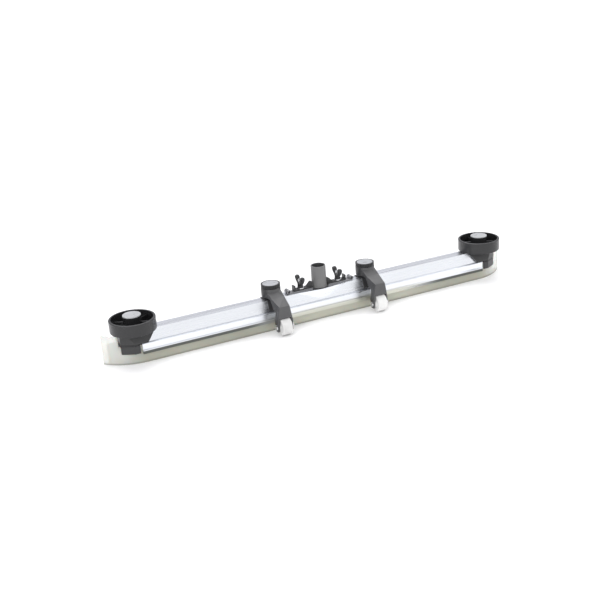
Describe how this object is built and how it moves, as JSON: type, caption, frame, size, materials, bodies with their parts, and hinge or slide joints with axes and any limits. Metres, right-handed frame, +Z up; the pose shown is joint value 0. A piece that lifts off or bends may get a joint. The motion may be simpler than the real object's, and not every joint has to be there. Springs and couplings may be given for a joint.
{
  "type": "floor scrubber squeegee bar",
  "caption": "Suction squeegee bar for a floor cleaning machine, with hose port, wing-nut suspension, bumper wheels and height-adjustable support wheels.",
  "frame": {"origin": "on the floor under the middle of the whole object's bounding box", "axes": "+X along the bar, +Y away from the support wheels (the pulled side of the bar faces -Y), +Z up"},
  "size_m": [1.022, 0.13, 0.1203],
  "materials": {
    "stainless": "brushed stainless sheet",
    "zinc_steel": "bright zinc plate",
    "lip": "translucent polyurethane",
    "black_plastic": "moulded, fine grain",
    "port_plastic": "moulded",
    "light_plastic": "moulded",
    "white_plastic": "moulded",
    "plate_metal": "dark coated"
  },
  "bodies": {
    "bar": {"axle_bolt_left": "zinc_steel", "axle_bolt_right": "zinc_steel", "axle_nut_left": "zinc_steel", "axle_nut_right": "zinc_steel", "axle_washer_left": "zinc_steel", "axle_washer_right": "zinc_steel", "beam": "stainless", "end_block_screws": "zinc_steel", "front_clamp_strip": "stainless", "front_lip": "lip", "front_strip_nuts": "zinc_steel", "front_strip_screws": "zinc_steel", "guide_base_left": "black_plastic", "guide_base_right": "black_plastic", "guide_bolts_left": "zinc_steel", "guide_bolts_right": "zinc_steel", "guide_nuts_left": "zinc_steel", "guide_nuts_right": "zinc_steel", "hose_port": "port_plastic", "lower_end_block_left": "black_plastic", "lower_end_block_right": "black_plastic", "mount_studs": "zinc_steel", "mount_washers": "zinc_steel", "mounting_plate_left": "plate_metal", "mounting_plate_right": "plate_metal", "port_lock_nut": "black_plastic", "port_seal": "black_plastic", "rear_clamp_strip": "stainless", "rear_lip": "lip", "rear_strip_nuts": "zinc_steel", "rear_strip_studs": "zinc_steel", "strap_left": "black_plastic", "strap_right": "black_plastic", "upper_end_block_left": "black_plastic", "upper_end_block_right": "black_plastic", "wheel_sleeve_left": "zinc_steel", "wheel_sleeve_right": "zinc_steel"},
    "bumper_left": {"bumper_wheel_left": "black_plastic", "hub_cap_left": "light_plastic"},
    "support_left": {"support_bracket_left": "black_plastic", "support_axle_left": "zinc_steel", "support_axle_nut_left": "zinc_steel"},
    "knob_left": {"height_knob_left": "black_plastic", "knob_inlay_left": "light_plastic", "spindle_left": "zinc_steel"},
    "roller_left": {"support_wheel_left": "white_plastic"},
    "wing_nut_left": {"wing_nut_left": "black_plastic"},
    "bumper_right": {"bumper_wheel_right": "black_plastic", "hub_cap_right": "light_plastic"},
    "support_right": {"support_bracket_right": "black_plastic", "support_axle_right": "zinc_steel", "support_axle_nut_right": "zinc_steel"},
    "knob_right": {"height_knob_right": "black_plastic", "knob_inlay_right": "light_plastic", "spindle_right": "zinc_steel"},
    "roller_right": {"support_wheel_right": "white_plastic"},
    "wing_nut_right": {"wing_nut_right": "black_plastic"}
  },
  "joints": [
    {"name": "bumper_turn_left", "type": "hinge", "parent": "bar", "child": "bumper_left", "pos_m": [-0.442, 0.015, 0.083], "axis": [0, 0, 1], "continuous": true},
    {"name": "height_left", "type": "slide", "parent": "bar", "child": "support_left", "axis": [0, 0, 1], "range_m": [-0.0031, 0.0061]},
    {"name": "knob_turn_left", "type": "hinge", "parent": "support_left", "child": "knob_left", "pos_m": [-0.1207, 0.015, 0.0985], "axis": [0, 0, 1], "range_deg": [-360, 720]},
    {"name": "roller_turn_left", "type": "hinge", "parent": "support_left", "child": "roller_left", "pos_m": [-0.1207, -0.045, 0.02], "axis": [1, 0, 0], "continuous": true},
    {"name": "wing_nut_turn_left", "type": "hinge", "parent": "bar", "child": "wing_nut_left", "pos_m": [-0.0477, 0.015, 0.09], "axis": [0, 0, 1], "range_deg": [-180, 180]},
    {"name": "bumper_turn_right", "type": "hinge", "parent": "bar", "child": "bumper_right", "pos_m": [0.442, 0.015, 0.083], "axis": [0, 0, 1], "continuous": true},
    {"name": "height_right", "type": "slide", "parent": "bar", "child": "support_right", "axis": [0, 0, 1], "range_m": [-0.0031, 0.0061]},
    {"name": "knob_turn_right", "type": "hinge", "parent": "support_right", "child": "knob_right", "pos_m": [0.1207, 0.015, 0.0985], "axis": [0, 0, 1], "range_deg": [-360, 720]},
    {"name": "roller_turn_right", "type": "hinge", "parent": "support_right", "child": "roller_right", "pos_m": [0.1207, -0.045, 0.02], "axis": [1, 0, 0], "continuous": true},
    {"name": "wing_nut_turn_right", "type": "hinge", "parent": "bar", "child": "wing_nut_right", "pos_m": [0.0477, 0.015, 0.09], "axis": [0, 0, 1], "range_deg": [-180, 180]}
  ],
  "couplings": [
    {"joint": "height_left", "follows": "knob_turn_left", "m_per_rad": 0.00047746},
    {"joint": "height_right", "follows": "knob_turn_right", "m_per_rad": 0.00047746}
  ]
}
